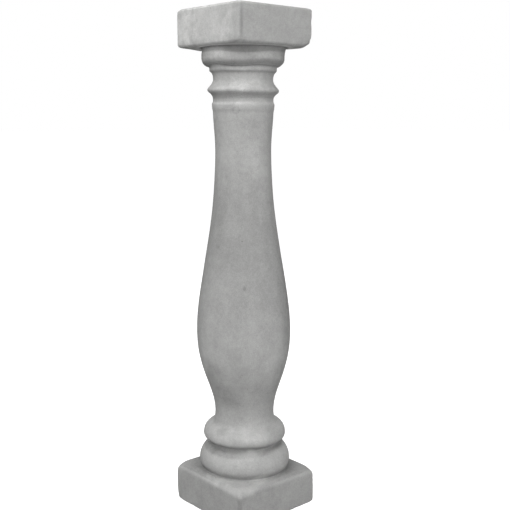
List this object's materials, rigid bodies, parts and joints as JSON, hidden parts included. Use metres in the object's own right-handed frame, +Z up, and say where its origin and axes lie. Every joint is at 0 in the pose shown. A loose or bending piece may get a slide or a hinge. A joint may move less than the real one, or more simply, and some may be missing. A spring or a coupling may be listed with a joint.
{
  "type": "stone baluster",
  "caption": "Cast stone baluster: square base slab, torus foot, low swelling belly, slender neck with rings, cushion moulding and square abacus.",
  "frame": {"origin": "centre of the underside of the square base slab", "axes": "+Z up along the baluster's axis; X and Y square to the sides of the two slabs"},
  "size_m": [0.123, 0.123, 0.6],
  "materials": {
    "cast_stone": "matt cast cement, softly mottled grey with small pits and rounded edges"
  },
  "bodies": {
    "root": {"baluster": "cast_stone"}
  },
  "joints": []
}
